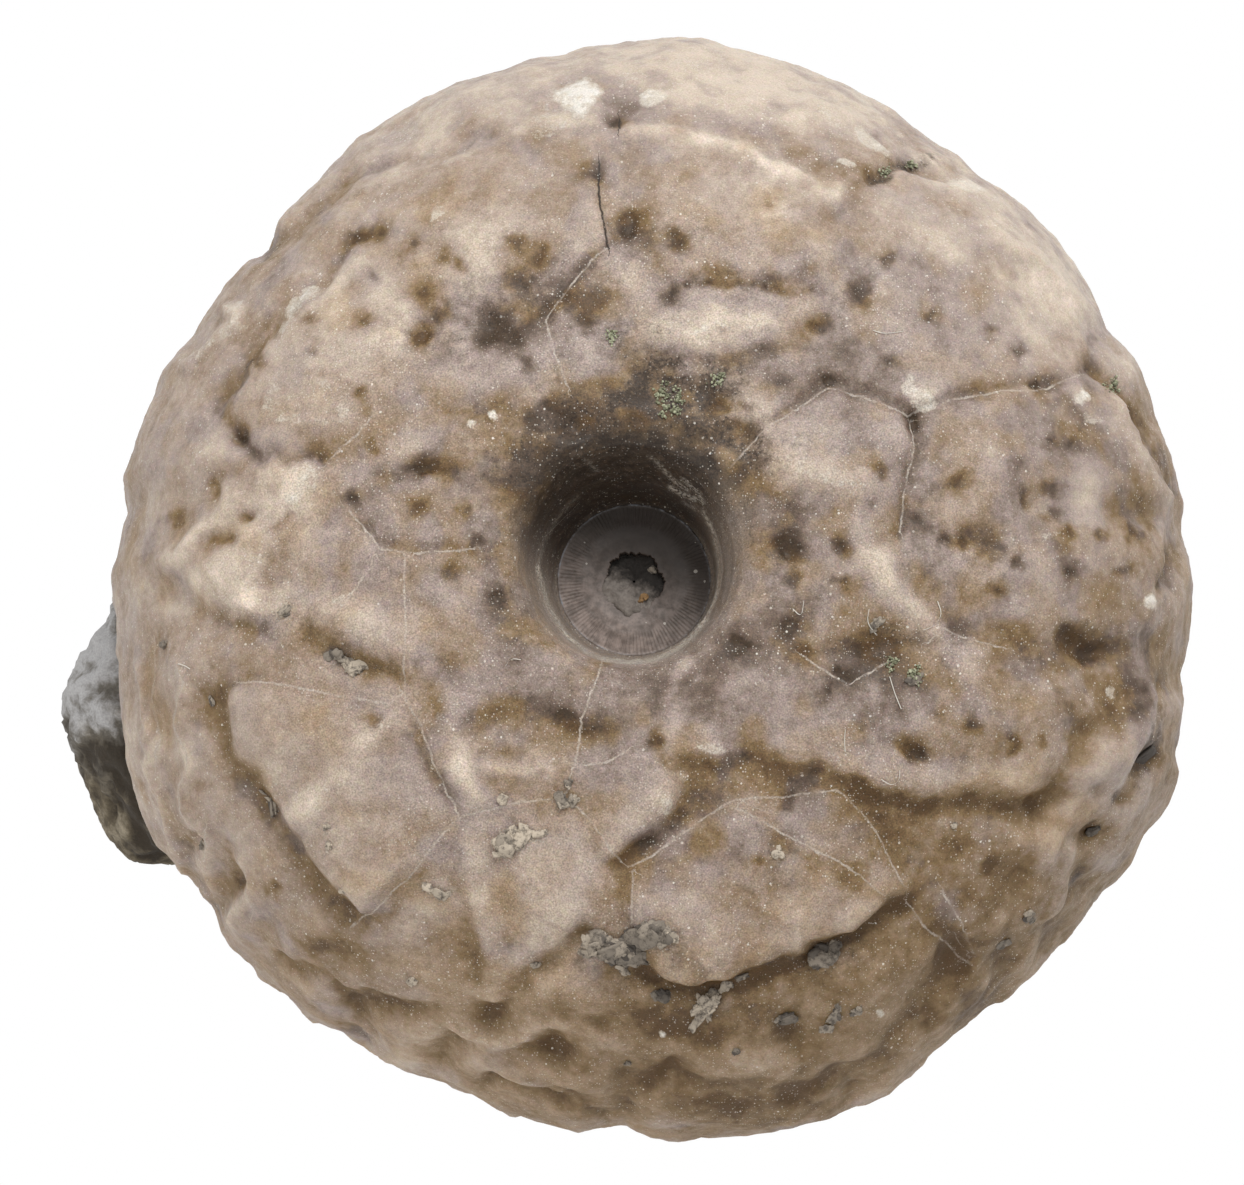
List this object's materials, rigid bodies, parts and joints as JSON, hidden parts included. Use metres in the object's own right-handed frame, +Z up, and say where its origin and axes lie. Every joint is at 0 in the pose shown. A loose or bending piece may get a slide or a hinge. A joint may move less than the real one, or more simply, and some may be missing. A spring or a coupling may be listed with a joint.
{
  "type": "fossil crinoid calyx",
  "caption": "Fossil crinoid calyx, a rounded cup of fused plates lying mouth side down on a lump of grey limestone, with the stem pit facing up.",
  "frame": {"origin": "On the resting plane, below the axis of the stem pit.", "axes": "+Z up, out of the stem pit. -X towards the lump of matrix that shows past the cup, and -Y towards the flank whose plates end in high steps."},
  "size_m": [0.0457, 0.0446, 0.0255],
  "materials": {
    "calyx": "weathered calcite, satin",
    "stem_disc": "dark calcite, satin",
    "canal_plug": "dull fine sediment",
    "matrix": "dull rough limestone"
  },
  "bodies": {
    "root": {"calyx": "calyx", "stem_disc": "stem_disc", "canal_plug": "canal_plug", "matrix": "matrix"}
  },
  "joints": []
}
